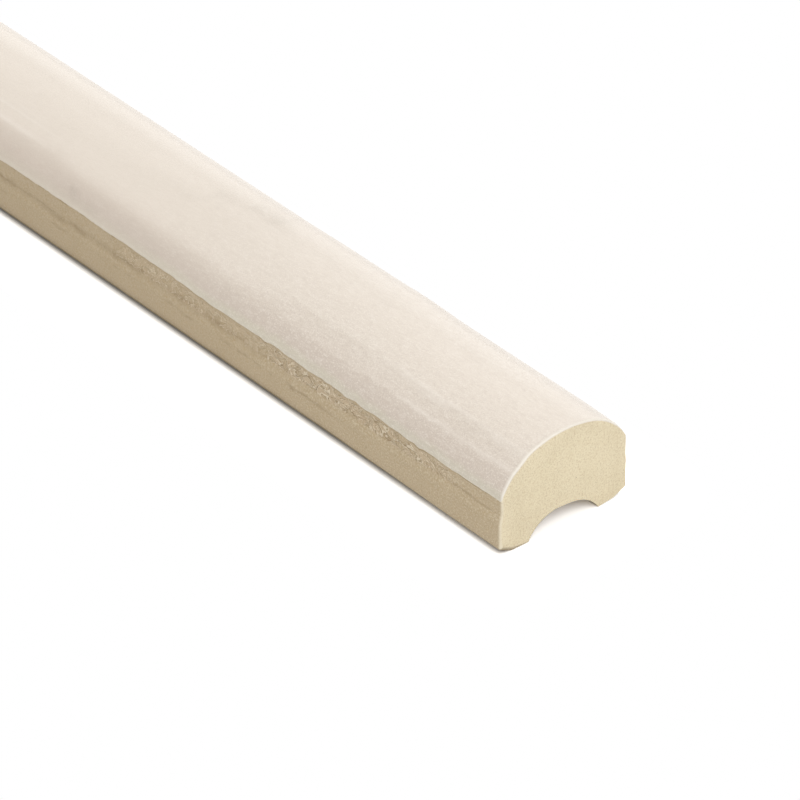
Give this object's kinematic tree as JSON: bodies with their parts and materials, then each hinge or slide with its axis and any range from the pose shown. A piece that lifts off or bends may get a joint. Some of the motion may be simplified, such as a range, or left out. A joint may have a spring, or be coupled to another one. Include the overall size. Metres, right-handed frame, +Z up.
{
  "type": "pencil liner tile",
  "caption": "Narrow half-round glazed trim strip with a low domed face, upright long walls and an arched groove along its back.",
  "frame": {"origin": "on the floor plane of the two feet, under the middle of the strip", "axes": "+X along the strip, towards the cut end that the picture shows; +Y across its width; +Z up through the top of the dome"},
  "size_m": [0.3, 0.02, 0.0141],
  "materials": {
    "glazed_body": "satin glaze on the dome, bare fired body elsewhere"
  },
  "bodies": {
    "root": {"pencil_liner": "glazed_body"}
  },
  "joints": []
}
